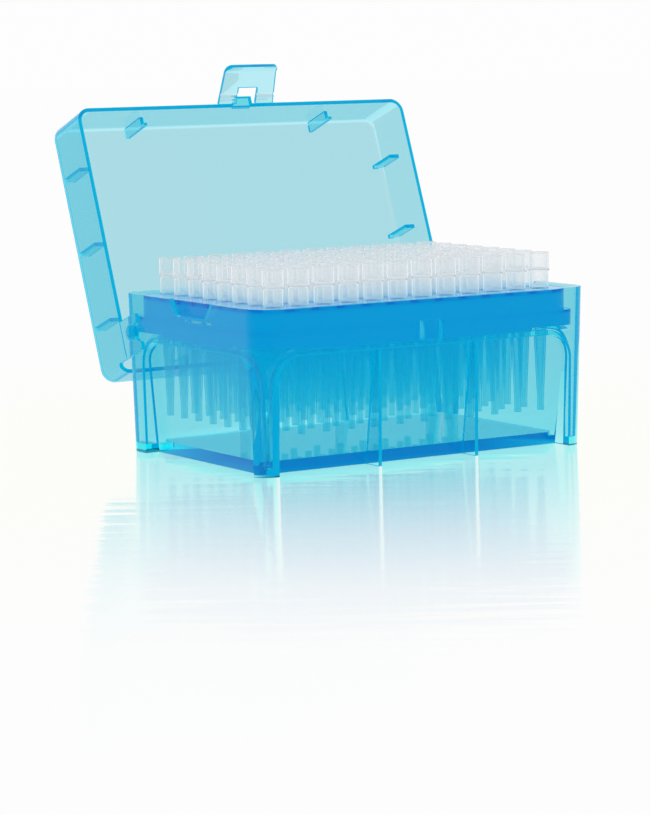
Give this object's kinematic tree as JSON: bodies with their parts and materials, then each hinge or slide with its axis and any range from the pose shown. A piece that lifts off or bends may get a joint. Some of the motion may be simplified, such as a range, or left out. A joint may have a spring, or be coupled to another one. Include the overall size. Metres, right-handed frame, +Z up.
{
  "type": "pipette tip box",
  "caption": "Hinged clear blue plastic rack box that holds filter pipette tips upright in a perforated deck, with a snap-hinged lid and a latch flap.",
  "frame": {"origin": "middle of the base's footprint, on the plane of its feet", "axes": "+X along the long side to the right seen from the latch side, +Y from the latch side to the hinge side, +Z up"},
  "size_m": [0.1288, 0.1286, 0.1222],
  "materials": {
    "base": "clear moulded polypropylene, glossy",
    "deck": "translucent moulded polypropylene",
    "lid": "clear moulded polypropylene, glossy",
    "latch": "clear moulded polypropylene, glossy",
    "tips": "natural polypropylene, satin",
    "filters": "porous sintered polyethylene"
  },
  "bodies": {
    "box": {"base": "base", "deck": "deck", "tips_column_01": "tips", "tips_column_02": "tips", "tips_column_03": "tips", "tips_column_04": "tips", "tips_column_05": "tips", "tips_column_06": "tips", "tips_column_07": "tips", "tips_column_08": "tips", "tips_column_09": "tips", "tips_column_10": "tips", "tips_column_11": "tips", "tips_column_12": "tips", "filters_column_01": "filters", "filters_column_02": "filters", "filters_column_03": "filters", "filters_column_04": "filters", "filters_column_05": "filters", "filters_column_06": "filters", "filters_column_07": "filters", "filters_column_08": "filters", "filters_column_09": "filters", "filters_column_10": "filters", "filters_column_11": "filters", "filters_column_12": "filters"},
    "lid": {"lid": "lid"},
    "latch": {"latch": "latch"}
  },
  "joints": [
    {"name": "lid_hinge", "type": "hinge", "parent": "box", "child": "lid", "pos_m": [0, 0.0334, 0.0384], "axis": [1, 0, 0], "range_deg": [0, 111]},
    {"name": "latch_hinge", "type": "hinge", "parent": "lid", "child": "latch", "pos_m": [0, 0.06551, 0.10866], "axis": [1, 0, 0], "range_deg": [-50, 50]}
  ]
}
